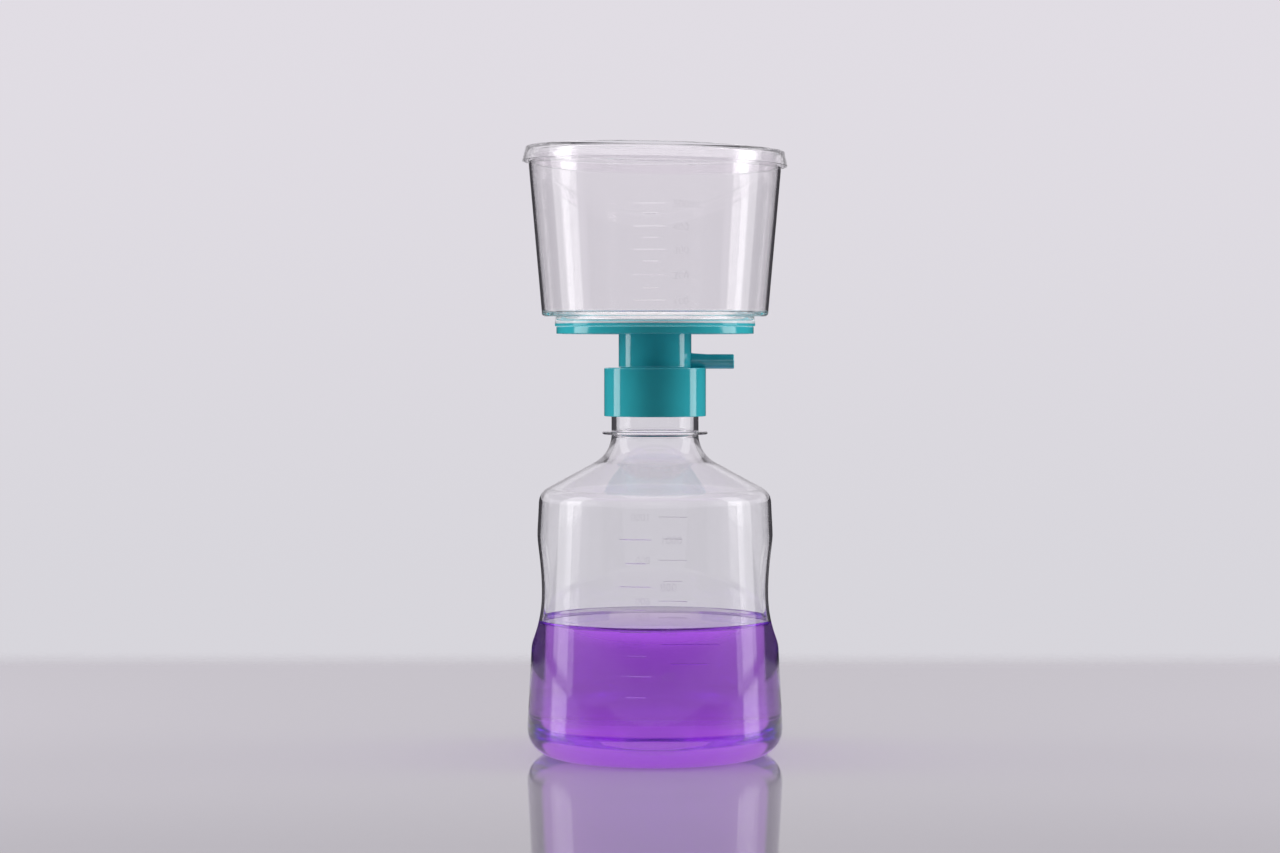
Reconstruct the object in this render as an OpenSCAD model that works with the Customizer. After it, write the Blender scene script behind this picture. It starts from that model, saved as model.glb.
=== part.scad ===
// Vacuum filtration unit: a screw-necked receiver bottle, a filter head with
// a side vacuum port, a clear funnel cup and its loose lid. The head is one
// moulding: its cap, stem, port, drain tube and dish are nodes of their own.
// Millimetres. The origin is the centre of the foot, +Z is up, and the
// vacuum port points along +X.

/* [Bottle] */
// Radius of the body where the heel curve ends
bottle_r = 60.8; // [56:0.1:74]
// Lean of the body wall towards the axis, in degrees
body_taper = 2.95; // [1:0.05:4]
// Radius of the heel curve
heel_r = 12.5; // [8:0.5:16]
// Width of the flat ring that the bottle stands on
foot_w = 4; // [2:0.5:8]
// Rise of the base inside the foot ring
punt_h = 3.5; // [1:0.5:6]
// Height at which the shoulder curve is centred
shoulder_z = 119.8; // [110:0.1:150]
// Radius of the shoulder curve
shoulder_r = 8; // [4:0.5:12]
// Slope of the shoulder cone, in degrees
shoulder_slope = 28.5; // [20:0.5:40]
// Thickness of the body wall
bottle_wall = 1.6; // [1:0.1:3]
// Thickness of the base
base_t = 2; // [1.5:0.1:4]

/* [Grips] */
// Height of the deepest line of the two side grips
grip_z = 78; // [70:1:85]
// Depth of each grip below the body wall
grip_depth = 4.3; // [2:0.1:6]
// Radius of the grip hollow above its deepest line
grip_upper_r = 104; // [80:1:130]
// Radius of the grip hollow below its deepest line
grip_lower_r = 56; // [45:1:70]

/* [Neck] */
// Outer radius of the neck between its threads
neck_r = 20.7; // [17:0.1:25]
// Thickness of the neck wall
neck_wall = 2.3; // [1.6:0.1:3]
// Radius of the curve from the shoulder into the neck
neck_fillet_r = 15; // [10:0.5:18]
// Reach of the support flange beyond the neck
flange_reach = 4.3; // [2.5:0.1:7]
// Thickness of the support flange
flange_t = 1.4; // [1:0.1:2.5]
// Height of the neck above the flange
finish_h = 27; // [24:0.5:34]

/* [Liquid] */
// Height of the liquid's surface above the table
liquid_level = 63.6; // [20:0.1:100]

/* [Gasket] */
// Thickness of the sealing ring in the roof of the cap
gasket_t = 1.5; // [1:0.1:2.5]
// Radial gap between the sealing ring and the cap's wall
gasket_gap = 0.5; // [0.3:0.1:1]

/* [Thread] */
// Rise of the thread in one turn
thread_pitch = 4; // [3.5:0.1:5]
// Turns of thread on the neck and in the cap
thread_turns = 1.5; // [1:0.25:2]
// Height of the thread ridges above their walls
thread_depth = 1.8; // [1.4:0.1:2.2]
// Radial gap between a ridge's crest and the wall it faces
thread_gap = 0.3; // [0.2:0.05:0.5]
// Distance from the mouth of the neck down to the end of its thread
thread_drop = 6.5; // [5:0.5:9]

/* [Cap and stem] */
// Thickness of the cap's wall
cap_wall = 1.4; // [1.2:0.1:2.5]
// Thickness of the cap's roof
cap_roof_t = 1.8; // [1.5:0.1:3]
// Overall height of the cap
cap_h = 23.1; // [20:0.1:26]
// Outer radius of the stem
stem_r = 17.3; // [15:0.1:21]
// Thickness of the stem's wall
stem_wall = 1.6; // [1.2:0.1:2.5]
// Height of the stem from the cap to the underside of the dish
stem_h = 15.9; // [13:0.1:24]

/* [Drain tube] */
// Outer radius of the drain tube inside the stem
drain_r = 5; // [4:0.1:7]
// Wall of the drain tube
drain_wall = 1.4; // [1:0.1:1.8]
// Length of the drain tube below the roof of the cap
drain_drop = 16; // [12:0.5:18]

/* [Vacuum port] */
// Radius of the straight part that the hose grips
port_r = 3.5; // [3:0.05:4.5]
// Extra radius of the port where it leaves the stem
port_root_extra = 0.25; // [0.1:0.05:0.5]
// Distance from the side of the cap to the straight part of the port
port_land_gap = 0.6; // [0.4:0.1:3]
// Length of the port beyond the side of the cap
port_len = 13.3; // [10:0.1:25]
// Radius of the air hole
port_bore_r = 2; // [1.5:0.05:2.3]
// Height of the port's axis above the top of the cap
port_rise = 2.83; // [2:0.01:6]
// Bevel around the port's tip
port_tip_bevel = 0.35; // [0.1:0.05:0.6]

/* [Port plug] */
// Length of the porous plug in the air hole
plug_len = 7; // [4:0.5:9]
// Depth of the plug behind the port's tip
plug_depth = 3; // [1:0.5:5]

/* [Filter dish] */
// Radius of the outer band of the dish
dish_r = 46.9; // [44:0.1:58]
// Height of the outer band
band_h = 3.5; // [3:0.1:6]
// Height of the step above the band, up to the membrane's seat
step_h = 2.4; // [2:0.1:4]
// Width of the seat around the drainage well
seat_w = 4.2; // [3:0.1:6]
// Thickness of the dish floor
dish_floor_t = 1.7; // [1.4:0.1:2.4]
// Recess of the underside inside the band
under_recess = 1.2; // [0.5:0.1:1.5]
// Number of long ribs that carry the membrane
rib_count = 12; // [8:1:16]
// Thickness of a rib
rib_t = 0.9; // [0.7:0.1:1.4]

/* [Membrane] */
// Thickness of the filter membrane
membrane_t = 0.3; // [0.1:0.05:0.6]

/* [Funnel cup] */
// Reach of the cup's wall beyond the dish, at the foot of the cup
cup_overhang = 6.7; // [4:0.1:12]
// Widening of the cup's wall from its foot to its rim
cup_flare = 6.7; // [3:0.1:12]
// Height of the cup from the underside of its floor to its rim
cup_h = 76.3; // [60:0.1:100]
// Thickness of the cup's wall
cup_wall = 1.4; // [1:0.1:2]
// Thickness of the cup's floor
cup_floor_t = 1.8; // [1.4:0.1:2.5]
// Radius of the curve between the cup's wall and floor
cup_corner_r = 2; // [1.5:0.1:3]
// Thickness of the collar that grips the dish
collar_wall = 1.6; // [1.2:0.1:2.4]
// Width of the ring that presses on the membrane's edge
clamp_w = 3.6; // [2.5:0.1:4]

/* [Lid] */
// Thickness of the lid's panel
lid_t = 1.5; // [1.2:0.1:2.5]
// Thickness of the lid's skirt
skirt_t = 0.8; // [0.7:0.1:1.2]
// Depth of the skirt below the panel
skirt_h = 5.4; // [4:0.1:8]
// Outward flare of the skirt from the panel to its lip
skirt_flare = 1.4; // [0.8:0.1:2.5]
// Depth of the plug ring below the panel
lid_ring_h = 6.6; // [5:0.1:9]
// Radial gap between the lid and the cup, inside and outside
lid_gap = 0.35; // [0.3:0.05:1]
// Slant of the lid as it lies on the rim, in degrees
lid_tilt = 1.28; // [0:0.02:1.5]

/* [Fits] */
// Gap between faces that rest on each other
seat_gap = 0.02; // [0.02:0.01:0.05]
// Gap between the bonded collar and the dish
bond_gap = 0.2; // [0.1:0.05:0.3]
// Gap around the liquid and the port's plug
fill_gap = 0.05; // [0.05:0.01:0.1]

/* [Hidden] */
$fn = 120;
bite = 1;        // how far a cutting shape runs past what it cuts
clear = [0.86, 0.88, 0.92, 0.4];
teal = [0.13, 0.62, 0.66];

// Body wall as a line: cos(taper) r + sin(taper) z = body_k
body_k = cos(body_taper) * bottle_r + sin(body_taper) * heel_r;
function body_radius(z) = (body_k - sin(body_taper) * z) / cos(body_taper);
function beside_body(inset, gap, z) =
    (body_k - inset - gap - sin(body_taper) * z) / cos(body_taper);

// Shoulder cone as a line: sin(slope) r + cos(slope) z = cone_k - inset
shoulder_c = [beside_body(0, shoulder_r, shoulder_z), shoulder_z];
cone_k = sin(shoulder_slope) * shoulder_c[0] + cos(shoulder_slope) * shoulder_z + shoulder_r;
function fillet_centre(inset, radius) =
    let (r = radius + neck_fillet_r)
    [r, (cone_k - inset + neck_fillet_r - sin(shoulder_slope) * r) / cos(shoulder_slope)];

neck_in_r = neck_r - neck_wall;
flange_r = neck_r + flange_reach;
flange_z = fillet_centre(0, neck_r)[1];
neck_top = flange_z + flange_t + finish_h;

gasket_z = neck_top + seat_gap;
roof_z = gasket_z + gasket_t + seat_gap;
cap_top = roof_z + cap_roof_t;
cap_in_r = neck_r + thread_depth + thread_gap;
cap_r = cap_in_r + cap_wall;
cap_bottom = cap_top - cap_h;
stem_in_r = stem_r - stem_wall;
drain_in_r = drain_r - drain_wall;
drain_z = roof_z - drain_drop;
port_z = cap_top + port_rise;

port_root_x = stem_r - stem_wall / 2;
port_land_x = cap_r + port_land_gap;
port_tip_x = cap_r + port_len;

// A ridge is 0.6 of the pitch wide at its root and 0.25 at its crest, and
// both threads are cut to ring_n steps a turn, faded out at their ends
ring_n = 36;
fade_n = 6;
thread_z = neck_top - thread_drop - thread_turns * thread_pitch;

dish_z = cap_top + stem_h;
dish_floor_z = dish_z + under_recess;
well_z = dish_floor_z + dish_floor_t;
step_z = dish_z + band_h;
seat_z = step_z + step_h;
collar_r = dish_r + 0.7;
step_r = collar_r - collar_wall - bond_gap;
well_r = step_r - seat_w;

membrane_z = seat_z + seat_gap;
membrane_r = step_r - 1.9;
clamp_z = membrane_z + membrane_t + seat_gap;
cup_z = clamp_z + 1.86;
cup_top = cup_z + cup_h;
cup_open_r = membrane_r - clamp_w;
cup_foot_r = dish_r + cup_overhang;
cup_rim_r = cup_foot_r + cup_flare;
cup_lean = (cup_rim_r - cup_foot_r) / cup_h;
function cup_radius(z) = cup_foot_r + (z - cup_z) * cup_lean;

skirt_in_r = cup_rim_r + lid_gap;
lid_ring_r = cup_radius(cup_top - lid_ring_h) - cup_wall - lid_gap;
lid_z = cup_top + seat_gap + cup_rim_r * sin(lid_tilt);

// Points of an arc about c, from angle a to angle b
function arc(c, r, a, b, n = 10) =
    [for (i = [0:n]) c + r * [cos(a + (b - a) * i / n), sin(a + (b - a) * i / n)]];

// Four corners of the ridge at step i, standing side * height off the wall
function ridge(i, n, wall, side, low) =
    let (fade = min(1, i / fade_n, (n - i) / fade_n),
         a = 360 * i / ring_n,
         z = low + thread_pitch * i / ring_n,
         tip = wall + side * (0.05 + (thread_depth - 0.05) * fade),
         root = wall - side * 0.5)
    [for (c = [[root, -0.3], [tip, -0.125], [tip, 0.125], [root, 0.3]])
        [c[0] * cos(a), c[0] * sin(a), z + c[1] * thread_pitch]];

// Helical ridge on the outside (side 1) or inside (side -1) of a round wall
module thread(wall, side, low) {
    n = thread_turns * ring_n;
    points = [for (i = [0:n]) each ridge(i, n, wall, side, low)];
    skin = [for (i = [0:n - 1], k = [0:3])
        let (a = 4 * i + k, b = 4 * i + (k + 1) % 4)
        side > 0 ? [b, b + 4, a + 4, a] : [a, a + 4, b + 4, b]];
    ends = side > 0 ? [[3, 2, 1, 0], [4 * n, 4 * n + 1, 4 * n + 2, 4 * n + 3]]
                    : [[0, 1, 2, 3], [4 * n + 3, 4 * n + 2, 4 * n + 1, 4 * n]];
    polyhedron(points, concat(skin, ends), convexity = 6);
}

// Half section of the bottle, or of its hollow when inset is the wall
function shell_section(inset, floor_z, radius, top) =
    let (heel = heel_r - inset,
         heel_c = [beside_body(inset, heel, floor_z + heel), floor_z + heel],
         dome_w = heel_c[0] - foot_w,
         dome_r = (dome_w * dome_w + punt_h * punt_h) / (2 * punt_h),
         dome_a = asin(dome_w / dome_r),
         neck_c = fillet_centre(inset, radius))
    concat([[0, floor_z + punt_h]],
           [for (i = [1:8]) [dome_r * sin(dome_a * i / 8),
                             floor_z + punt_h - dome_r * (1 - cos(dome_a * i / 8))]],
           arc(heel_c, heel, -90, body_taper),
           arc(shoulder_c, shoulder_r - inset, body_taper, 90 - shoulder_slope),
           arc(neck_c, neck_fillet_r, 270 - shoulder_slope, 180),
           [[radius, top], [0, top]]);

// The two hollows for fingers and thumb, one on each side of the body
module grips(inset) {
    floor_x = body_radius(grip_z) - grip_depth;
    for (side = [-1, 1])
        translate([0, bottle_r, 0]) rotate([90, 0, 0])
            linear_extrude(2 * bottle_r)
                for (half = [[1, grip_upper_r], [-1, grip_lower_r]])
                    intersection() {
                        translate([side * (floor_x + half[1]), grip_z])
                            circle(half[1] + inset, $fn = 360);
                        translate([side * bottle_r, grip_z + half[0] * bottle_r / 2])
                            square(bottle_r, center = true);
                    }
}

module flange_section() {
    tip = flange_t / 2;
    translate([neck_in_r + bite, flange_z])
        square([flange_r - tip - neck_in_r - bite, flange_t]);
    translate([flange_r - tip, flange_z + tip]) circle(tip, $fn = 32);
}

module bottle() {
    color(clear)
        difference() {
            union() {
                rotate_extrude() {
                    polygon(shell_section(0, 0, neck_r, neck_top));
                    flange_section();
                }
                thread(neck_r, 1, thread_z);
            }
            grips(0);
            difference() {
                rotate_extrude()
                    polygon(shell_section(bottle_wall, base_t, neck_in_r, neck_top + bite));
                grips(bottle_wall);
            }
        }
}

module liquid() {
    inset = bottle_wall + fill_gap;
    color([0.55, 0.25, 0.8, 0.7])
        difference() {
            intersection() {
                rotate_extrude()
                    polygon(shell_section(inset, base_t + fill_gap, neck_in_r, neck_top));
                cylinder(r = bottle_r, h = liquid_level);
            }
            grips(inset);
        }
}

module neck_gasket() {
    color([0.93, 0.93, 0.92])
        translate([0, 0, gasket_z])
            difference() {
                cylinder(r = cap_in_r - gasket_gap, h = gasket_t);
                translate([0, 0, -bite])
                    cylinder(r = stem_in_r, h = gasket_t + 2 * bite);
            }
}

// Box in the r, z half plane from corner a to corner b
module zone(a, b) {
    translate(a) square(b - a);
}

// The cap of the filter head, with its inner thread
module screw_cap() {
    color(teal)
        union() {
            rotate_extrude() {
                zone([cap_in_r, cap_bottom], [cap_r, cap_top]);
                zone([stem_r + seat_gap, roof_z], [cap_r, cap_top]);
            }
            thread(cap_in_r, -1, thread_z - thread_pitch / 2);
        }
}

module air_hole() {
    translate([stem_in_r - bite, 0, port_z]) rotate([0, 90, 0])
        cylinder(r = port_bore_r, h = port_tip_x);
}

module stem() {
    color(teal)
        difference() {
            rotate_extrude()
                zone([stem_in_r, roof_z], [stem_r, dish_floor_z - seat_gap]);
            air_hole();
        }
}

module port_outside() {
    translate([port_root_x, 0, port_z]) rotate([0, 90, 0])
        cylinder(r1 = port_r + port_root_extra, r2 = port_r, h = port_land_x - port_root_x);
    translate([port_land_x, 0, port_z]) rotate([0, 90, 0])
        cylinder(r = port_r, h = port_tip_x - port_tip_bevel - port_land_x);
    translate([port_tip_x - port_tip_bevel, 0, port_z]) rotate([0, 90, 0])
        cylinder(r1 = port_r, r2 = port_r - port_tip_bevel, h = port_tip_bevel);
}

module port() {
    color(teal)
        difference() {
            port_outside();
            cylinder(r = stem_r + seat_gap, h = dish_z);
            cylinder(r = cap_r + seat_gap, h = cap_top + seat_gap);
            air_hole();
        }
}

module drain_tube() {
    color(teal)
        rotate_extrude()
            zone([drain_in_r, drain_z], [drain_r, dish_floor_z - seat_gap]);
}

module dish_section() {
    zone([drain_in_r, dish_floor_z], [dish_r, well_z]);
    zone([dish_r - dish_floor_t, dish_z], [dish_r, step_z]);
    zone([well_r, dish_floor_z], [step_r, seat_z]);
}

module membrane_ribs() {
    for (i = [0:2 * rib_count - 1])
        rotate(i * 180 / rib_count) {
            start = i % 2 == 0 ? drain_r + rib_t : well_r / 2;
            translate([start, -rib_t / 2, well_z - dish_floor_t / 2])
                cube([well_r + bite - start, rib_t, seat_z - well_z + dish_floor_t / 2]);
        }
}

module dish() {
    color(teal)
        union() {
            rotate_extrude() dish_section();
            membrane_ribs();
        }
}

module port_plug() {
    color("white")
        translate([port_tip_x - plug_depth - plug_len, 0, port_z]) rotate([0, 90, 0])
            cylinder(r = port_bore_r - fill_gap, h = plug_len);
}

module membrane() {
    color([0.97, 0.97, 0.95])
        translate([0, 0, membrane_z]) cylinder(r = membrane_r, h = membrane_t);
}

module cup_section() {
    out = [cup_foot_r - cup_corner_r, cup_z + cup_corner_r];
    in_r = cup_corner_r - cup_wall / 2;
    in_z = cup_z + cup_floor_t;
    in_c = [cup_radius(in_z) - cup_wall - in_r, in_z + in_r];
    polygon(concat(
        [[cup_open_r, cup_z]],
        arc(out, cup_corner_r, -90, 0, 6),
        [[cup_rim_r, cup_top], [cup_rim_r - cup_wall, cup_top]],
        arc(in_c, in_r, 0, -90, 6),
        [[cup_open_r, in_z]]));
    polygon([[collar_r - collar_wall, step_z + seat_gap], [collar_r, step_z + seat_gap],
             [collar_r, seat_z], [collar_r - collar_wall / 2, cup_z + cup_floor_t / 2],
             [collar_r - collar_wall, cup_z + cup_floor_t / 2]]);
    zone([cup_open_r, clamp_z], [membrane_r, cup_z + cup_floor_t / 2]);
}

module funnel_cup() {
    color(clear) rotate_extrude() cup_section();
}

// The lid's own frame has its zero at the underside of the panel
module lid_section() {
    step = -skirt_h / 4;
    lip = skirt_in_r + skirt_t + skirt_flare;
    brow = skirt_in_r + skirt_t;
    polygon([[0, 0], [skirt_in_r, 0], [lip - skirt_t, -skirt_h], [lip, -skirt_h],
             [brow + 0.55, step], [brow + 0.35, step],
             [brow, lid_t - 0.3], [brow - 0.3, lid_t], [0, lid_t]]);
    polygon([[lid_ring_r - 1.1, bite / 2], [lid_ring_r - 1, -lid_ring_h],
             [lid_ring_r, -lid_ring_h], [lid_ring_r + 0.1, bite / 2]]);
}

module lid() {
    color(clear)
        translate([0, 0, lid_z]) rotate([0, lid_tilt, 0])
            rotate_extrude() lid_section();
}

bottle();
liquid();
neck_gasket();
screw_cap();
stem();
port();
drain_tube();
dish();
port_plug();
membrane();
funnel_cup();
lid();
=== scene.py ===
import math

import bmesh
import bpy
from mathutils import Matrix, Vector


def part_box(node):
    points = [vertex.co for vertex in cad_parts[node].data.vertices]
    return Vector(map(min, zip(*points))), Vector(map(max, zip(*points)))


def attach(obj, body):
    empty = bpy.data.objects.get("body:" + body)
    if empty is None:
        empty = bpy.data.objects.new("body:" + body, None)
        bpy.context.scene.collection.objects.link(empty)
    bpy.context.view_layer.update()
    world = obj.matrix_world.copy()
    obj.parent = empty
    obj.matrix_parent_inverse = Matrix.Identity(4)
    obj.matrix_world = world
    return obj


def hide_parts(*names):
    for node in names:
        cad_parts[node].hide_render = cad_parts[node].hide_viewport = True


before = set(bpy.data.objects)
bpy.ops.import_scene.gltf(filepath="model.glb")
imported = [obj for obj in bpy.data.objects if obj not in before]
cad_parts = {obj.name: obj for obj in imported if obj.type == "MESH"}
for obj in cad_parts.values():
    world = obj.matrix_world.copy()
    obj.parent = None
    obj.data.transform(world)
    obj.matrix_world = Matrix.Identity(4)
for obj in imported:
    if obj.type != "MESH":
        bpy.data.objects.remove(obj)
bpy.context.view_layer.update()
scene = bpy.context.scene
scene.view_settings.view_transform = "Standard"
# Light crosses many faces on its way through two clear walls and a liquid
BOUNCES = 40
scene.cycles.max_bounces = BOUNCES
scene.cycles.transmission_bounces = BOUNCES
scene.cycles.glossy_bounces = BOUNCES

# ---------------------------------------------------------------- the studio
# The unit stands on a pale polished table in front of a pale wall. A tall
# softbox stands at each side, a broad one hangs overhead, and the room behind
# the camera is dark.
SENSOR_MM, LENS_MM = 36, 80.94
CAMERA_AT = (0, -1.367, 0.1933)
CAMERA_TILT, CAMERA_PAN = math.radians(88.434), math.radians(0.299)
camera_data = bpy.data.cameras.new("camera")
camera_data.sensor_width = SENSOR_MM
camera_data.lens = LENS_MM
camera = bpy.data.objects.new("camera", camera_data)
camera.location = CAMERA_AT
camera.rotation_euler = (CAMERA_TILT, 0, CAMERA_PAN)
scene.collection.objects.link(camera)
scene.camera = camera


class Shade:
    """An output socket of a node tree. Arithmetic on it adds Math nodes."""

    def __init__(self, tree, socket=None):
        self.tree = tree
        self.socket = socket

    def node(self, kind, settings=None, inputs=None, out=0):
        """Adds a node, sets it up, feeds it, and gives one of its outputs."""
        made = self.tree.nodes.new("ShaderNode" + kind)
        for name, value in (settings or {}).items():
            setattr(made, name, value)
        for name, value in (inputs or {}).items():
            if isinstance(value, Shade):
                self.tree.links.new(value.socket, made.inputs[name])
            else:
                made.inputs[name].default_value = value
        return Shade(self.tree, made.outputs[out] if len(made.outputs) else None)

    def out(self, name):
        """Another output of the node that this one belongs to."""
        return Shade(self.tree, self.socket.node.outputs[name])

    def maths(self, operation, *values):
        """A Math node on numbers and sockets."""
        return self.node("Math", {"operation": operation}, dict(enumerate(values)))

    def __add__(self, other):
        return self.maths("ADD", self, other)

    def __sub__(self, other):
        return self.maths("SUBTRACT", self, other)

    def __rsub__(self, other):
        return self.maths("SUBTRACT", other, self)

    def __mul__(self, other):
        return self.maths("MULTIPLY", self, other)

    def __truediv__(self, other):
        return self.maths("DIVIDE", self, other)

    def __abs__(self):
        return self.maths("ABSOLUTE", self)

    __radd__ = __add__
    __rmul__ = __mul__

    def ramp(self, low, high, start=0.0, end=1.0):
        """Runs smoothly from start to end as this value goes from low to high."""
        inputs = {"Value": self, "From Min": low, "From Max": high, "To Min": start, "To Max": end}
        return self.node("MapRange", {"interpolation_type": "SMOOTHSTEP"}, inputs)

    def blend(self, first, second):
        """Goes from the first colour to the second as this value goes from 0 to 1."""
        return self.node("Mix", {"data_type": "RGBA"}, {0: self, 6: first, 7: second}, out=2)


# The eye sees the wall all round. The unit's clear walls and mirrors show a
# room with lit parts and dark ones, which is what draws their outlines.
WALL_LOW = (0.680, 0.668, 0.712, 1)
WALL_HIGH = (0.752, 0.722, 0.775, 1)
WALL_GLOW = (0.960, 0.950, 0.980, 1)
ROOM_DARK = (0.100, 0.095, 0.120, 1)
ROOM_BLACK = (0.020, 0.020, 0.024, 1)
EDGE_DARK = (0.075, 0.070, 0.080, 1)
EDGE_PALE = (0.450, 0.440, 0.470, 1)
FILL_FRONT = (0.030, 0.030, 0.035, 1)
FILL_REST = (0.340, 0.340, 0.350, 1)
SIDE_GLARE = (3.000, 2.980, 3.000, 1)
TINY = 0.0001

world = bpy.data.worlds.new("room")
scene.world = world
world.use_nodes = True
world.node_tree.nodes.clear()
room = Shade(world.node_tree)
side = room.node("SeparateXYZ", inputs={0: room.node("TexCoord", out="Generated")})
depth = side.out(1)
rise = side.out(2)
level = room.maths("SQRT", side * side + depth * depth) + TINY
wall = rise.ramp(-0.13, 0.13).blend(WALL_LOW, WALL_HIGH)
low_wall = rise.ramp(-0.090, -0.106).blend(wall, WALL_GLOW)

# How the light came: through a clear wall, without a reflection, and through
# more than three faces
paths = room.node("LightPath")
refracted = paths.out("Is Transmission Ray")
straight = 1 - paths.out("Glossy Depth").ramp(0.2, 0.8)
passed = paths.out("Transmission Depth").ramp(3.2, 3.8)
through = room.maths("MAXIMUM", refracted * straight, passed)

# Light that crossed the unit comes from the lit parts of the room
to_back = (depth / level).ramp(0.75, 0.81)
to_front = (depth / level).ramp(-0.92, -0.96)
to_side = abs(side / level).ramp(0.94, 0.98)
to_table = rise.ramp(-0.002, -0.02)
to_ceiling = rise.ramp(0.2, 0.4)
lit = room.maths("MAXIMUM", room.maths("MAXIMUM", to_back, to_front * straight),
                 room.maths("MAXIMUM", to_side, to_table + to_ceiling))

# Outer faces mirror a black room with the wall in a narrow part of it, and the
# table in a wider part. Thin rims are dark at eye level, paler above and below.
narrow = depth / level + rise.ramp(0.05, 0.07, 0, 2)
behind = narrow.ramp(0.975, 0.995).blend(ROOM_BLACK, wall)
edge = abs(rise).ramp(0.11, 0.22).blend(EDGE_DARK, EDGE_PALE)
seen = through.blend(refracted.blend(behind, edge), lit.blend(ROOM_DARK, low_wall))

# A clear wall's far side mirrors the side softboxes too
aside = depth / (abs(side) + TINY)
glare = refracted * (1 - straight) * passed * aside.ramp(-0.15, -0.11) * aside.ramp(0.29, 0.22)
seen = glare.blend(seen, SIDE_GLARE)
fill = depth.ramp(-0.95, -0.45).blend(FILL_FRONT, FILL_REST)
light = paths.out("Is Camera Ray").blend(paths.out("Is Glossy Ray").blend(fill, seen), wall)
room.node("OutputWorld", inputs={"Surface": room.node("Background", inputs={"Color": light})})


def softbox(name, centre, facing_to, width, height, brightness, mirrored=True):
    """A rectangular lamp at centre that faces a point; mirrored ones show in mirrors."""
    lamp = bpy.data.lights.new(name, "AREA")
    lamp.shape = "RECTANGLE"
    lamp.size = width
    lamp.size_y = height
    lamp.energy = brightness * math.pi * width * height
    made = bpy.data.objects.new(name, lamp)
    made.location = centre
    aim = Vector(facing_to) - Vector(centre)
    made.rotation_euler = aim.to_track_quat("-Z", "Y").to_euler()
    made.visible_camera = False
    made.visible_transmission = False
    made.visible_glossy = mirrored
    scene.collection.objects.link(made)
    return lamp


# Each side softbox is narrower low down and soft along its rear edge. A wider
# fill lamp in the same place only lights the unit.
SIDE_X, SIDE_FRONT, SIDE_REAR, SIDE_H = 0.9, -0.19, 0.275, 1.05
SIDE_Y = (SIDE_FRONT + SIDE_REAR) / 2
SIDE_LIGHT = 2.0
SIDE_NOTCH = 0.11
FILL_W, FILL_LIGHT = 0.45, 2.75
TOP_AT, TOP_W, TOP_LIGHT = (0, -0.1, 1.6), 1.0, 1.2
LAMP_WHITE, LAMP_OFF = (1, 0.995, 1, 1), (0, 0, 0, 1)
for side_name, sign in (("left", -1), ("right", 1)):
    centre = (sign * SIDE_X, SIDE_Y, SIDE_H / 2)
    facing = (0, SIDE_Y, SIDE_H / 2)
    lamp = softbox("softbox_" + side_name, centre, facing,
                   SIDE_REAR - SIDE_FRONT, SIDE_H, SIDE_LIGHT)
    lamp.use_nodes = True
    lamp.node_tree.nodes.clear()
    glow = Shade(lamp.node_tree)
    spot = glow.node("SeparateXYZ", inputs={0: glow.node("NewGeometry", out="Position")})
    front = spot.out("Z").ramp(0.19, 0.23, SIDE_FRONT + SIDE_NOTCH, SIDE_FRONT)
    strength = (spot.out("Y") - front).ramp(0, 0.015) * (SIDE_REAR - spot.out("Y")).ramp(0, 0.05)
    strength = strength * spot.out("Z").ramp(0.0, 0.012)
    colour = strength.blend(LAMP_OFF, LAMP_WHITE)
    glow.node("OutputLight", inputs={"Surface": glow.node("Emission", inputs={"Color": colour})})
    softbox("fill_" + side_name, centre, facing, FILL_W, SIDE_H, FILL_LIGHT, mirrored=False)
softbox("softbox_top", TOP_AT, (TOP_AT[0], TOP_AT[1], 0), TOP_W, TOP_W, TOP_LIGHT)

# The table is polished, so it mirrors the unit. It fades into the wall's colour
# behind the unit, and further off at its other sides.
TABLE_EDGE = 0.415
TABLE_SOFT = 0.05
TABLE_REACH = 0.85
TABLE_HALF = 4
TABLE_GREY = (0.470, 0.445, 0.485, 1)
# Painted shade: the table is darker towards the front
TABLE_FRONT_SHADE = (0.430, 0.407, 0.445, 1)
# Painted light, laid on the table close by and far off where the unit's walls show it
TABLE_PAINTED_LIGHT = (0.660, 0.640, 0.690, 1)
# Painted shade, laid on the table beside the unit and under its heel where the unit's walls show
# it
TABLE_PAINTED_SHADE = (0.040, 0.038, 0.045, 1)
table_mesh = bmesh.new()
bmesh.ops.create_grid(table_mesh, x_segments=1, y_segments=1, size=TABLE_HALF)
bmesh.ops.translate(table_mesh, verts=table_mesh.verts,
                    vec=(0, TABLE_EDGE + TABLE_SOFT - TABLE_HALF, 0))
table_data = bpy.data.meshes.new("table")
table_mesh.to_mesh(table_data)
table_mesh.free()
table = bpy.data.objects.new("table", table_data)
scene.collection.objects.link(table)
table_finish = bpy.data.materials.new("table")
table_finish.use_nodes = True
table_finish.node_tree.nodes.clear()
top = Shade(table_finish.node_tree)
place = top.node("SeparateXYZ", inputs={0: top.node("TexCoord", out="Object")})
far = place.out("Y")
across = abs(place.out("X"))
distance = top.maths("SQRT", far * far + across * across) + TINY

# As the unit's walls and mirrors show it, the table has painted light close by
# and far off, and painted shade beside the unit and under its heel
beside = across - 0.87 * abs(far) + 0.083
# Painted shade beside the unit and painted shade under its heel
side_shade = beside.ramp(-0.01, 0.01) * (across / distance).ramp(0.9, 0.8) * distance.ramp(0.19, 0.21)
heel_shade = distance.ramp(0.052, 0.046) * far.ramp(-0.010, -0.022)
# Painted light on the table close by the unit and far off
painted_light = top.maths("MAXIMUM", distance.ramp(0.28, 0.43), distance.ramp(0.22, 0.10, 0, 0.95))
# The table's grey with its painted light and painted shade, as the unit's walls and mirrors show
# it
mirrored = (side_shade + heel_shade).blend(painted_light.blend(TABLE_GREY, TABLE_PAINTED_LIGHT), TABLE_PAINTED_SHADE)
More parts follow.
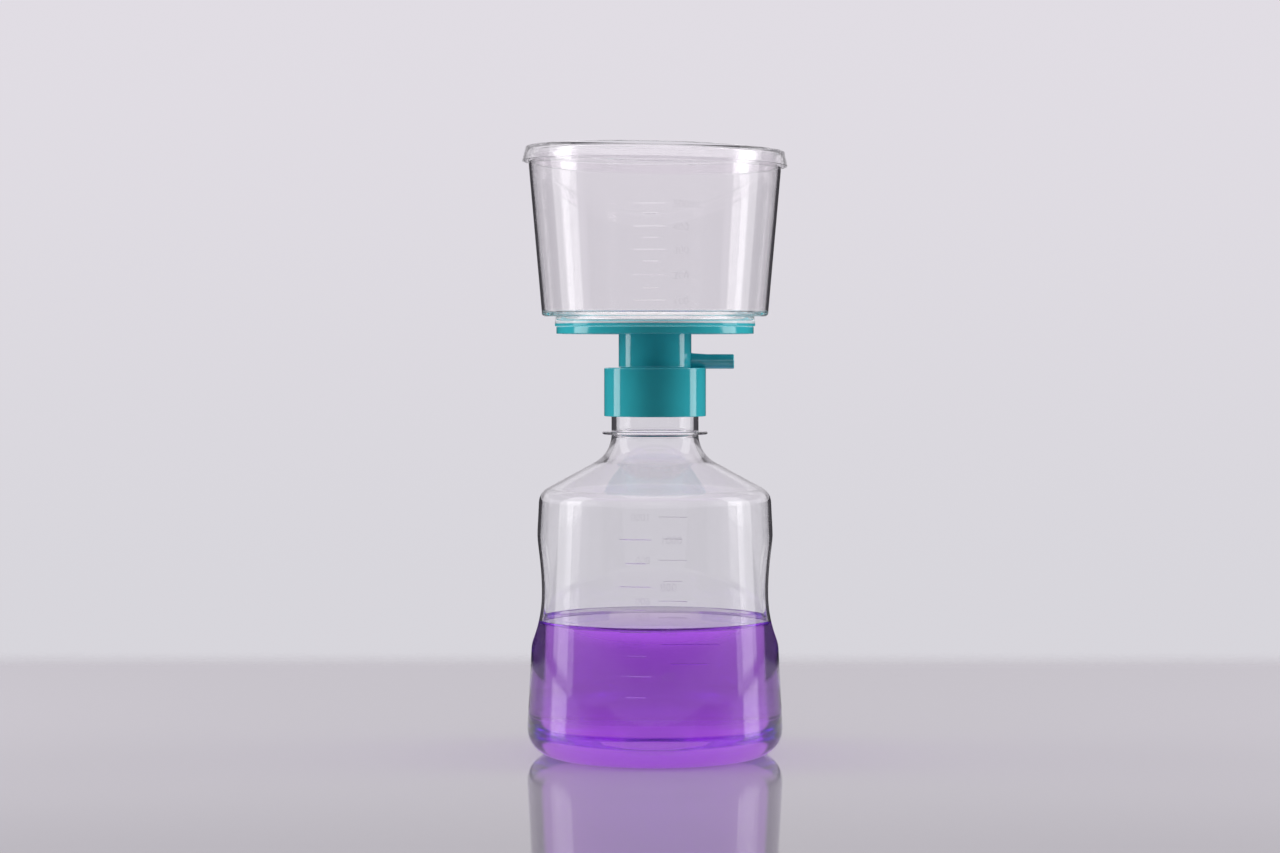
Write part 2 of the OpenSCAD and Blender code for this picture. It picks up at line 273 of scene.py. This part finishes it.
# Painted shade darkens the table towards the front
plain = far.ramp(-0.10, -0.28).blend(TABLE_GREY, TABLE_FRONT_SHADE)
cover = top.node("LightPath", out="Is Glossy Ray").blend(plain, mirrored)
polished = top.node("BsdfPrincipled", inputs={"Base Color": cover, "Roughness": 0.05, "IOR": 1.45})
gone = top.node("BsdfTransparent")
reach = top.maths("MAXIMUM", across, -1 * far)
fade = top.maths("MAXIMUM", far.ramp(TABLE_EDGE - TABLE_SOFT, TABLE_EDGE + TABLE_SOFT),
                 reach.ramp(TABLE_REACH - 3 * TABLE_SOFT, TABLE_REACH))
shown = top.node("MixShader", inputs={0: fade, 1: polished, 2: gone})
top.node("OutputMaterial", inputs={"Surface": shown})
table_data.materials.append(table_finish)


# ---------------------------------------------------------------- the bottle
# A one-litre square-shouldered bottle, blown in clear plastic with an even
# wall, with a hollow pressed into each side for the fingers. Its neck has a
# support flange and a screw thread, and its scale is raised on the mould.
def outline(corners, turn=math.radians(6)):
    """Points of a section. Each corner is r, z and the radius that rounds it."""
    points = []
    for i, (r, z, radius) in enumerate(corners):
        here = Vector((r, z))
        if radius == 0:
            points.append(here)
            continue
        back = (Vector(corners[i - 1][:2]) - here).normalized()
        on = (Vector(corners[(i + 1) % len(corners)][:2]) - here).normalized()
        half = back.angle(on) / 2
        centre = here + (back + on).normalized() * radius / math.sin(half)
        start = here + back * radius / math.tan(half) - centre
        sweep = start.angle_signed(here + on * radius / math.tan(half) - centre)
        steps = max(2, round(abs(sweep) / turn))
        for k in range(steps + 1):
            points.append(centre + Matrix.Rotation(-sweep * k / steps, 2) @ start)
    return points


def divided(points, longest):
    """The same section with points added, so that no step is over longest."""
    result = [points[0]]
    for a, b in zip(points, points[1:]):
        parts = max(1, math.ceil((b - a).length / longest))
        result += [a.lerp(b, k / parts) for k in range(1, parts + 1)]
    return result


def turned_mesh(points, closed=False, segments=192):
    """A mesh of a section turned round the Z axis, with its faces outwards."""
    bm = bmesh.new()
    verts = [bm.verts.new((r, 0, z)) for r, z in points]
    edges = [bm.edges.new(pair) for pair in zip(verts, verts[1:])]
    if closed:
        edges.append(bm.edges.new((verts[-1], verts[0])))
    bmesh.ops.spin(bm, geom=verts + edges, cent=(0, 0, 0), axis=(0, 0, 1),
                   angle=math.tau, steps=segments, use_merge=True)
    bmesh.ops.remove_doubles(bm, verts=bm.verts, dist=1e-7)
    bmesh.ops.recalc_face_normals(bm, faces=bm.faces)
    return bm


def piece(name, bm, finish, body, smooth=True):
    """Makes a mesh a piece of the unit, which rides on one of its bodies."""
    mesh = bpy.data.meshes.new(name)
    bm.to_mesh(mesh)
    bm.free()
    mesh.materials.append(finish)
    made = bpy.data.objects.new(name, mesh)
    scene.collection.objects.link(made)
    if smooth:
        mesh.shade_smooth()
        made.modifiers.new("even_shading", "WEIGHTED_NORMAL").keep_sharp = True
    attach(made, body)
    return made


def finish_graph(name):
    """A new material and the graph of its nodes."""
    made = bpy.data.materials.new(name)
    made.use_nodes = True
    made.node_tree.nodes.clear()
    return made, Shade(made.node_tree)


def clear_surface(graph, body, passed):
    """Gives a clear surface, which also lets the lamps shine through it."""
    clear = graph.node("BsdfTransparent", inputs={"Color": passed})
    shadow = graph.node("LightPath", out="Is Shadow Ray")
    return graph.node("MixShader", inputs={0: shadow, 1: body, 2: clear})


def clear_plastic(name, tint, shine):
    """Clear moulded plastic, a little uneven, as it froze against the mould."""
    made, graph = finish_graph(name)
    place = graph.node("TexCoord", out="Object")
    flow = graph.node("Mapping", inputs={"Vector": place, "Scale": (60, 60, 14)})
    waves = graph.node("TexNoise", inputs={"Vector": flow, "Scale": 1.0, "Detail": 2.0})
    smear = graph.node("TexNoise", inputs={"Vector": place, "Scale": 90.0, "Detail": 3.0})
    bump = graph.node("Bump", inputs={"Height": waves, "Strength": 0.35, "Distance": 0.00012})
    body = graph.node("BsdfPrincipled", inputs={
        "Base Color": tint, "Roughness": smear.ramp(0.35, 0.75, 0.008, 0.02),
        "IOR": 1.5, "Specular IOR Level": shine, "Transmission Weight": 1.0, "Normal": bump})
    surface = clear_surface(graph, body, (0.96, 0.96, 0.965, 1))
    graph.node("OutputMaterial", inputs={"Surface": surface})
    return made


BOTTLE_R = 0.0608
TAPER = math.radians(2.95)
HEEL_R = 0.0125
FOOT_W = 0.004
PUNT_H = 0.0035
SHOULDER_Z = 0.1198
SHOULDER_R = 0.008
SLOPE = math.radians(28.5)
WALL = 0.0016
BASE_T = 0.002
NECK_R = 0.0207
NECK_WALL = 0.0023
NECK_CURVE = 0.015
FLANGE_R = 0.025
FLANGE_T = 0.0014
FLANGE_ROUND = FLANGE_T * 0.48
RIM_ROUND = 0.0005
FINISH_H = 0.027
NECK_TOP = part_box("bottle")[1].z
FLANGE_Z = NECK_TOP - FINISH_H - FLANGE_T


def body_r(z, inset=0.0):
    """Radius of the body's wall at a height, or of a wall set inside it."""
    return BOTTLE_R - inset / math.cos(TAPER) - (z - HEEL_R) * math.tan(TAPER)


# Where the shoulder cone would meet the wall, if the corner were square
shoulder_line = (math.sin(SLOPE) * (body_r(SHOULDER_Z, SHOULDER_R))
                 + math.cos(SLOPE) * SHOULDER_Z + SHOULDER_R)


def shoulder_corner(inset):
    """The square corner of wall and shoulder cone, set in by a thickness."""
    wall_at_0 = body_r(0, inset)
    z = (shoulder_line - inset - math.sin(SLOPE) * wall_at_0) / (
        math.cos(SLOPE) - math.sin(SLOPE) * math.tan(TAPER))
    return body_r(z, inset), z


def neck_corner_z(radius, inset):
    """Height at which the shoulder cone would meet the neck."""
    return (shoulder_line - inset - math.sin(SLOPE) * radius) / math.cos(SLOPE)


def base_arc(floor_z, inset, steps=10):
    """The raised middle of the base, from the axis out to the foot ring."""
    heel = HEEL_R - inset
    half_w = body_r(floor_z + heel, inset + heel) - FOOT_W
    radius = (half_w ** 2 + PUNT_H ** 2) / (2 * PUNT_H)
    reach = math.asin(half_w / radius)
    return [(radius * math.sin(reach * k / steps),
             floor_z + PUNT_H - radius * (1 - math.cos(reach * k / steps)), 0)
            for k in range(steps + 1)]


outer = base_arc(0, 0) + [
    (body_r(0), 0, HEEL_R),
    (*shoulder_corner(0), SHOULDER_R),
    (NECK_R, neck_corner_z(NECK_R, 0), NECK_CURVE),
    (NECK_R, FLANGE_Z, 0),
    (FLANGE_R, FLANGE_Z, FLANGE_ROUND),
    (FLANGE_R, FLANGE_Z + FLANGE_T, FLANGE_ROUND),
    (NECK_R, FLANGE_Z + FLANGE_T, RIM_ROUND),
    (NECK_R, NECK_TOP, RIM_ROUND)]
NECK_IN_R = NECK_R - NECK_WALL
inner = [
    (NECK_IN_R, NECK_TOP, RIM_ROUND),
    (NECK_IN_R, neck_corner_z(NECK_IN_R, WALL), NECK_CURVE),
    (*shoulder_corner(WALL), SHOULDER_R - WALL),
    (body_r(BASE_T, WALL), BASE_T, HEEL_R - WALL)] + base_arc(BASE_T, WALL)[::-1]
LONGEST_STEP = 0.002
wall_points = divided(outline(outer + inner), LONGEST_STEP)

# The hollows follow a wide arc above their middle and a tighter one below it
GRIP_Z = 0.078
GRIP_DEPTH = 0.0043
GRIP_UPPER_R = 0.104
GRIP_LOWER_R = 0.056
GRIP_SOFT = 0.0012
GRIP_X = body_r(GRIP_Z) - GRIP_DEPTH
GRIP_HALF_H = 0.05
GRIP_HALF_W = 0.02


def press_grips(bm, set_in):
    """Presses the two side hollows into a turned wall; set_in(v) is its depth in the wall."""
    for v in bm.verts:
        radius = v.co.xy.length
        height = v.co.z - GRIP_Z
        hollow = GRIP_UPPER_R if height > 0 else GRIP_LOWER_R
        if abs(height) > GRIP_HALF_H or radius < GRIP_X * 0.7 or abs(v.co.x) < GRIP_HALF_W:
            continue
        floor = GRIP_X + hollow - math.sqrt((hollow + set_in(v)) ** 2 - height ** 2)
        limit = floor / (abs(v.co.x) / radius)
        near = min(max(0.5 + (limit - radius) / (2 * GRIP_SOFT), 0), 1)
        pressed = limit + (radius - limit) * near - GRIP_SOFT * near * (1 - near)
        v.co.xy *= min(pressed, radius) / radius


ROUND = 256
bottle_mesh = turned_mesh(wall_points, segments=ROUND)
press_grips(bottle_mesh, lambda v: WALL if v.co.xy.length < body_r(v.co.z, WALL / 2) else 0)
petg = clear_plastic("clear_bottle", (0.985, 0.98, 0.99, 1), shine=0.24)
bottle = piece("bottle_shell", bottle_mesh, petg, "bottle")
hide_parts("bottle")

# The thread stands on the neck as one ridge that fades out at both ends
THREAD_PITCH = 0.004
THREAD_TURNS = 1.5
THREAD_DEPTH = 0.0018
THREAD_ROOT = 0.0003
THREAD_STEPS = 72
THREAD_LOW = NECK_TOP - 0.0065 - THREAD_TURNS * THREAD_PITCH


def thread(wall_r, side, low):
    """A ridge wound on a round wall: side is 1 outside the wall, -1 inside."""
    bm = bmesh.new()
    root, tip = wall_r - side * THREAD_ROOT, wall_r + side * THREAD_DEPTH
    flat, wide = THREAD_PITCH * 0.125, THREAD_PITCH * 0.3
    corners = [(root, -wide), (tip, -flat), (tip, flat), (root, wide)]
    face = bm.faces.new([bm.verts.new((r, 0, low + z)) for r, z in corners])
    bmesh.ops.spin(bm, geom=[face, *face.edges, *face.verts], cent=(0, 0, 0), axis=(0, 0, 1),
                   dvec=(0, 0, THREAD_PITCH / THREAD_STEPS), angle=math.tau * THREAD_TURNS,
                   steps=int(THREAD_STEPS * THREAD_TURNS))
    for v in bm.verts:
        climbed = (v.co.z - low) / (THREAD_TURNS * THREAD_PITCH)
        fade = min(1, max(0, min(climbed, 1 - climbed) * 8 + 0.15))
        radius = v.co.xy.length
        v.co.xy *= (wall_r + (radius - wall_r) * fade) / radius
    bmesh.ops.remove_doubles(bm, verts=bm.verts, dist=1e-7)
    bmesh.ops.recalc_face_normals(bm, faces=bm.faces)
    return bm


piece("neck_thread", thread(NECK_R, 1, THREAD_LOW), petg, "bottle")

# The scale is raised on the front and again on the back, a little higher
MARK_W = 0.00028
MARK_RISE = 0.00013
MARK_ROOT = 0.00001
NUMERAL_RISE = 0.00004
NUMERAL_START, NUMERAL_SIZE = 0.0023, 0.0036
LONG_MARK, SHORT_MARK = (-0.0163, -0.0018), (-0.0136, -0.0041)
LONG_MARKS = [(0.1055, "1000"), (0.084, "800"), (0.0636, "600"), (0.0434, "400")]
SHORT_MARKS = [0.0946, 0.0735, 0.0525, 0.0338]
BACK_HIGHER = 0.004
# A digit of the plain font is this share of its size in height
DIGIT_SHARE = 0.7


def mark(bm, wall_r, z, start, end, raised=MARK_RISE):
    """A raised line across the front of a wall, from start to end along it."""
    radius = wall_r(z)
    corners = [(-MARK_ROOT, -MARK_W), (raised, -MARK_W / 3), (raised, MARK_W / 3),
               (-MARK_ROOT, MARK_W)]
    turn = Matrix.Rotation(start / radius - math.pi / 2, 3, "Z")
    verts = [bm.verts.new(turn @ Vector((wall_r(z + h) + out, 0, z + h))) for out, h in corners]
    face = bm.faces.new(verts)
    bmesh.ops.spin(bm, geom=[face, *face.edges, *verts], cent=(0, 0, 0), axis=(0, 0, 1),
                   angle=(end - start) / radius, steps=12)


def numeral(bm, wall_r, z, start, text, height, raised=NUMERAL_RISE):
    """A raised number on the front of a wall; start is its left edge, z its middle."""
    curve = bpy.data.curves.new("numeral", "FONT")
    curve.body = text
    curve.size = height / DIGIT_SHARE
    curve.bevel_depth = raised
    curve.offset = -raised
    curve.bevel_resolution = 0
    curve.resolution_u = 3
    letters = bpy.data.objects.new("numeral", curve)
    data = bpy.data.meshes.new_from_object(letters)
    before = len(bm.verts)
    bm.from_mesh(data)
    bm.verts.ensure_lookup_table()
    for v in bm.verts[before:]:
        at = z + v.co.y - height / 2
        angle = (start + v.co.x) / wall_r(at) - math.pi / 2
        radius = wall_r(at) + (raised if v.co.z > raised / 2 else -MARK_ROOT)
        v.co = (radius * math.cos(angle), radius * math.sin(angle), at)
    bpy.data.objects.remove(letters)
    bpy.data.curves.remove(curve)
    bpy.data.meshes.remove(data)


def finished_marks(bm):
    """The same mesh with each raised line and digit closed, its faces outwards."""
    bmesh.ops.remove_doubles(bm, verts=bm.verts, dist=1e-6)
    bmesh.ops.recalc_face_normals(bm, faces=bm.faces)
    return bm


for place_name, higher, turn in (("front", 0, 0), ("back", BACK_HIGHER, math.pi)):
    marks = bmesh.new()
    for z, text in LONG_MARKS:
        mark(marks, body_r, z + higher, *LONG_MARK)
        numeral(marks, body_r, z + higher, NUMERAL_START, text, NUMERAL_SIZE)
    for z in SHORT_MARKS:
        mark(marks, body_r, z + higher, *SHORT_MARK)
    bmesh.ops.rotate(marks, verts=marks.verts, cent=(0, 0, 0),
                     matrix=Matrix.Rotation(turn, 3, "Z"))
    piece("scale_" + place_name, finished_marks(marks), petg, "bottle",
          smooth=False)

# ---------------------------------------------------------------- the liquid
# A violet dye solution fills the bottle to just under its 600 mark. It wets
# the wall, so its edge creeps up it a little.
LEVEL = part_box("liquid")[1].z
# The liquid reaches a little into the wall, so that no air shows between them
WET = 0.0001
CREEP_H = 0.0016
CREEP_W = 0.0026
CREEP_CURVE = 1.6
CREEP_STEPS = 6
edge_r = body_r(LEVEL, WALL - WET)
creep = [(edge_r - CREEP_W * (1 - k / CREEP_STEPS),
          LEVEL + CREEP_H * (k / CREEP_STEPS) ** CREEP_CURVE, 0)
         for k in range(CREEP_STEPS + 1)]
pool = base_arc(BASE_T - WET, WALL - WET) + [
    (body_r(BASE_T, WALL - WET), BASE_T - WET, HEEL_R - WALL),
    (body_r(LEVEL + CREEP_H, WALL - WET), LEVEL + CREEP_H, 0)] + creep[-2::-1] + [
    (0.04, LEVEL, 0), (0.02, LEVEL, 0), (0, LEVEL, 0)]


def violet_dye():
    """A clear violet solution that deepens with its thickness, stirred a little."""
    made, graph = finish_graph("violet_dye")
    place = graph.node("TexCoord", out="Object")
    stir = graph.node("TexNoise", inputs={"Vector": place, "Scale": 25.0, "Detail": 1.0})
    bump = graph.node("Bump", inputs={"Height": stir, "Strength": 0.1, "Distance": 0.0001})
    body = graph.node("BsdfPrincipled", inputs={
        "Base Color": (1, 1, 1, 1), "Roughness": 0.0,
        "IOR": 1.33, "Transmission Weight": 1.0, "Normal": bump})
    dye = graph.node("VolumeAbsorption", inputs={
        "Color": (0.725, 0.205, 0.955, 1), "Density": 24.0})
    surface = clear_surface(graph, body, (0.98, 0.98, 0.98, 1))
    graph.node("OutputMaterial", inputs={"Surface": surface, "Volume": dye})
    return made


liquid_mesh = turned_mesh(divided(outline(pool), LONGEST_STEP), segments=ROUND)
press_grips(liquid_mesh, lambda v: WALL - WET)
liquid = piece("dye_solution", liquid_mesh, violet_dye(), "bottle")
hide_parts("liquid")

# ---------------------------------------------------------- the sealing ring
# A ring of white silicone in the roof of the cap, which the neck's mouth
# presses against.
def moulded(name, colour, roughness, mottle=0.05, grain=400.0, relief=0.00002, shine=0.5,
            coat=0.0):
    """An opaque moulded finish, slightly mottled, with a fine skin."""
    made, graph = finish_graph(name)
    place = graph.node("TexCoord", out="Object")
    cloud = graph.node("TexNoise", inputs={"Vector": place, "Scale": 60.0, "Detail": 4.0})
    skin = graph.node("TexNoise", inputs={"Vector": place, "Scale": grain, "Detail": 3.0})
    darker = tuple(c * (1 - mottle) for c in colour[:3]) + (1,)
    bump = graph.node("Bump", inputs={"Height": skin, "Strength": 0.25, "Distance": relief})
    body = graph.node("BsdfPrincipled", inputs={
        "Base Color": cloud.ramp(0.3, 0.7).blend(darker, colour),
        "Roughness": skin.ramp(0.3, 0.7, roughness * 0.85, roughness * 1.15),
        "IOR": 1.5, "Specular IOR Level": shine, "Coat Weight": coat, "Coat Roughness": roughness,
        "Normal": bump})
    graph.node("OutputMaterial", inputs={"Surface": body})
    return made


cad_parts["neck_gasket"].material_slots[0].material = moulded(
    "silicone", (0.82, 0.82, 0.80, 1), 0.5)

# ----------------------------------------------------------- the filter head
# One moulding in teal plastic: a screw cap, the stem above it with the side
# port, and the dish with its drainage ribs. The drain tube hangs in the stem.
CAP_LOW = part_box("screw_cap")[0].z
CAP_TOP = CAP_LOW + 0.0231
ROOF = CAP_TOP - 0.0018
CAP_R, CAP_IN_R = 0.0242, 0.0228
STEM_R, STEM_IN_R = 0.0173, 0.0157
DRAIN_R, DRAIN_IN_R = 0.005, 0.0036
DRAIN_LOW = ROOF - 0.016
SEAT_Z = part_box("dish")[1].z
DISH_LOW = CAP_TOP + 0.0159
DISH_FLOOR_LOW = DISH_LOW + 0.0012
WELL_Z = DISH_FLOOR_LOW + 0.0017
BAND_TOP = DISH_LOW + 0.0035
DISH_R, STEP_R, WELL_R = 0.0469, 0.0458, 0.0416
SKIRT_R = DISH_R - 0.0017
head_section = [
    (DRAIN_IN_R, DRAIN_LOW, 0.0002), (DRAIN_R, DRAIN_LOW, 0.0002),
    (DRAIN_R, DISH_FLOOR_LOW, 0.0005), (STEM_IN_R, DISH_FLOOR_LOW, 0.0005),
    (STEM_IN_R, ROOF, 0.0002), (CAP_IN_R, ROOF, 0.0003),
    (CAP_IN_R, CAP_LOW, 0.0003), (CAP_R, CAP_LOW, 0.0003),
    (CAP_R, CAP_TOP, 0.0006), (STEM_R, CAP_TOP, 0.0005),
    (STEM_R, DISH_FLOOR_LOW, 0.0006), (SKIRT_R, DISH_FLOOR_LOW, 0.0003),
    (SKIRT_R, DISH_LOW, 0.0002), (DISH_R, DISH_LOW, 0.0003),
    (DISH_R, BAND_TOP, 0.0004), (STEP_R, BAND_TOP, 0.0002),
    (STEP_R, SEAT_Z, 0.0003), (WELL_R, SEAT_Z, 0.0003),
    (WELL_R, WELL_Z, 0.0003), (DRAIN_IN_R, WELL_Z, 0.0004)]
COARSE = math.radians(15)
head_mesh = turned_mesh(outline(head_section, COARSE), closed=True)

# Ribs in the dish carry the membrane: long ones and short ones by turns
RIB_COUNT = 24
RIB_T = 0.0009
RIB_SUNK = 0.0002
RIB_ROUND = 0.0002
for i in range(RIB_COUNT):
    start = DRAIN_R + RIB_T if i % 2 == 0 else WELL_R / 2
    rib = bmesh.new()
    bmesh.ops.create_cube(rib, size=1)
    bmesh.ops.scale(rib, verts=rib.verts, vec=(
        WELL_R - start + 2 * RIB_SUNK, RIB_T, SEAT_Z - WELL_Z + RIB_SUNK))
    bmesh.ops.translate(rib, verts=rib.verts, vec=(
        (WELL_R + start) / 2, 0, (SEAT_Z + WELL_Z - RIB_SUNK) / 2))
    upper = [e for e in rib.edges if min(v.co.z for v in e.verts) > WELL_Z]
    bmesh.ops.bevel(rib, geom=upper, offset=RIB_ROUND, segments=2, profile=0.5, affect="EDGES")
    bmesh.ops.rotate(rib, verts=rib.verts, cent=(0, 0, 0),
                     matrix=Matrix.Rotation(math.tau * i / RIB_COUNT, 3, "Z"))
    rib_data = bpy.data.meshes.new("rib")
    rib.to_mesh(rib_data)
    rib.free()
    head_mesh.from_mesh(rib_data)
    bpy.data.meshes.remove(rib_data)

# The port is a plain hose stub that widens into the stem, with a bevelled tip
PORT_Z = CAP_TOP + 0.00283
PORT_R, PORT_BORE_R = 0.0035, 0.002
PORT_ROOT = STEM_IN_R + 0.0003
PORT_TIP = CAP_R + 0.0133
TIP_BEVEL = 0.00035
port_section = [
    (PORT_BORE_R, PORT_ROOT, 0), (PORT_R + 0.0009, PORT_ROOT, 0),
    (PORT_R + 0.00045, STEM_R + 0.0007, 0.0004), (PORT_R, CAP_R + 0.0006, 0.004),
    (PORT_R, PORT_TIP - TIP_BEVEL, 0.0002), (PORT_R - TIP_BEVEL, PORT_TIP, 0.0002),
    (PORT_BORE_R, PORT_TIP, 0.0003)]
port_mesh = turned_mesh(outline(port_section, COARSE), closed=True, segments=64)
bmesh.ops.rotate(port_mesh, verts=port_mesh.verts, cent=(0, 0, 0),
                 matrix=Matrix.Rotation(math.pi / 2, 3, "Y"))
bmesh.ops.translate(port_mesh, verts=port_mesh.verts, vec=(0, 0, PORT_Z))
TEAL = (0.046, 0.60, 0.68, 1)
teal = moulded("teal_plastic", TEAL, 0.08, shine=1.0, coat=0.5)
head = piece("filter_head_moulding", head_mesh, teal, "head")
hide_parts("screw_cap", "stem", "drain_tube", "dish")
port = piece("vacuum_port_stub", port_mesh, teal, "head")
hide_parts("port")
piece("cap_thread", thread(CAP_IN_R, -1, THREAD_LOW - THREAD_PITCH / 2),
      teal, "head")

# ------------------------------------------------- the port's plug, membrane
# A white fibre plug is pressed into the port's air hole. The membrane is a thin
# white disc that lies on the dish's ribs and is clamped by the cup.
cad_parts["port_plug"].material_slots[0].material = moulded(
    "fibre_plug", (0.85, 0.85, 0.83, 1), 0.9, mottle=0.12, grain=2500.0, relief=0.0002)
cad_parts["membrane"].material_slots[0].material = moulded(
    "membrane", (0.86, 0.86, 0.84, 1), 0.75, mottle=0.03, grain=3000.0, relief=0.00005)

# ------------------------------------------------------------ the funnel cup
# A tapered cup moulded in clear hard plastic. Its floor is open over the
# membrane, and a collar below the floor grips the step of the dish.
cup_low, cup_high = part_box("funnel_cup")
CUP_TOP = cup_high.z
CUP_H = 0.0763
CUP_Z = CUP_TOP - CUP_H
CUP_WALL, CUP_FLOOR = 0.0014, 0.0018
RIM_R, FOOT_R = cup_high.x, DISH_R + 0.0067
COLLAR_LOW = cup_low.z
COLLAR_R = 0.0476
COLLAR_TAPER = 0.00057
COLLAR_IN_R = STEP_R - 0.0001
CLAMP_R, OPEN_R = 0.0439, 0.0403
SEAT_GAP = 0.00002
CLAMP_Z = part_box("membrane")[1].z + SEAT_GAP


def cup_r(z):
    """Outer radius of the cup's wall at a height."""
    return FOOT_R + (RIM_R - FOOT_R) * (z - CUP_Z) / CUP_H


cup_section = [
    (OPEN_R, CLAMP_Z, 0.0003), (CLAMP_R, CLAMP_Z, 0.0003),
    (CLAMP_R, CUP_Z, 0.0003), (COLLAR_IN_R, CUP_Z, 0.0003),
    (COLLAR_IN_R, COLLAR_LOW, 0.0003), (COLLAR_R, COLLAR_LOW, 0.0004),
    (COLLAR_R, SEAT_Z, 0.001), (COLLAR_R - COLLAR_TAPER, CUP_Z, 0.0004),
    (FOOT_R, CUP_Z, 0.0019), (RIM_R, CUP_TOP, 0.0005),
    (RIM_R - CUP_WALL, CUP_TOP, 0.0005),
    (cup_r(CUP_Z + CUP_FLOOR) - CUP_WALL, CUP_Z + CUP_FLOOR, 0.0013),
    (OPEN_R, CUP_Z + CUP_FLOOR, 0.0004)]
styrene = clear_plastic("clear_cup", (1, 0.99, 1, 1), shine=0.55)
cup_points = outline(cup_section, math.radians(10))
cup = piece("cup_shell", turned_mesh(cup_points, closed=True, segments=ROUND),
            styrene, "head")
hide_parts("funnel_cup")

# The weld between collar and step shows through the collar as a pale band
WELD_LOW, WELD_TOP = BAND_TOP + 0.0014, SEAT_Z - 0.0001
WELD_IN_R, WELD_R = STEP_R - 0.0002, STEP_R + 0.0001
weld_section = [(WELD_IN_R, WELD_LOW, 0), (WELD_R, WELD_LOW, 0), (WELD_R, WELD_TOP, 0),
                (WELD_IN_R, WELD_TOP, 0)]
weld = moulded("weld", (0.90, 0.95, 0.97, 1), 0.6, mottle=0.1)
piece("collar_weld", turned_mesh(outline(weld_section), closed=True, segments=ROUND),
      weld, "head")

# Its scale is raised on the front, with flatter lines and higher numbers than
# the bottle's
CUP_MARKS = [(0.2589, "500mL"), (0.2485, "400"), (0.238, "300"), (0.2266, "200"), (0.215, "100")]
CUP_HALF_MARKS = [0.2545, 0.2434, 0.2327, 0.2206]
CUP_LONG, CUP_SHORT = (-0.010, 0.0046), (-0.0055, 0.0014)
CUP_NUMERAL_START, CUP_NUMERAL_SIZE = 0.0082, 0.0035
CUP_MARK_RISE, CUP_NUMERAL_RISE = MARK_RISE * 0.6, NUMERAL_RISE * 2
cup_scale = bmesh.new()
for z, text in CUP_MARKS:
    mark(cup_scale, cup_r, z, *CUP_LONG, CUP_MARK_RISE)
    numeral(cup_scale, cup_r, z, CUP_NUMERAL_START, text, CUP_NUMERAL_SIZE, CUP_NUMERAL_RISE)
for z in CUP_HALF_MARKS:
    mark(cup_scale, cup_r, z, *CUP_SHORT, CUP_MARK_RISE)
piece("cup_scale", finished_marks(cup_scale), styrene, "head", smooth=False)

# ------------------------------------------------------------------- the lid
# A thin clear lid that lies loosely on the rim, a little askew. Its skirt
# flares over the rim, and a ring below the panel drops inside the cup.
LID_PLAY = 0.00035
LID_T = 0.0015
SKIRT_T = 0.0008
SKIRT_IN_R = RIM_R + LID_PLAY
BROW_R = SKIRT_IN_R + SKIRT_T
LIP_R = BROW_R + 0.0014
SKIRT_H = 0.0054
RING_H = 0.0066
RING_T = 0.001
RING_R = cup_r(CUP_TOP - RING_H) - CUP_WALL - LID_PLAY
LID_TILT = math.radians(1.28)
LID_Z = CUP_TOP + SEAT_GAP + RIM_R * math.sin(LID_TILT)
lid_section = [
    (0, 0, 0), (RING_R - RING_T - 0.0001, 0, 0.0004), (RING_R - RING_T, -RING_H, 0.0003),
    (RING_R, -RING_H, 0.0003), (RING_R + 0.0001, 0, 0.0003), (SKIRT_IN_R, 0, 0.0005),
    (LIP_R - SKIRT_T, -SKIRT_H, 0.0002), (LIP_R, -SKIRT_H, 0.0002),
    (BROW_R + 0.00055, -SKIRT_H / 4, 0.0001), (BROW_R + 0.00035, -SKIRT_H / 4, 0.0001),
    (BROW_R, LID_T - 0.0003, 0.0002), (BROW_R - 0.0003, LID_T, 0.0002), (0, LID_T, 0)]
lid_mesh = turned_mesh(outline(lid_section, COARSE), segments=ROUND)
bmesh.ops.rotate(lid_mesh, verts=lid_mesh.verts, cent=(0, 0, 0),
                 matrix=Matrix.Rotation(LID_TILT, 3, "Y"))
bmesh.ops.translate(lid_mesh, verts=lid_mesh.verts, vec=(0, 0, LID_Z))
lid = piece("lid_shell", lid_mesh, styrene, "lid")
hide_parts("lid")
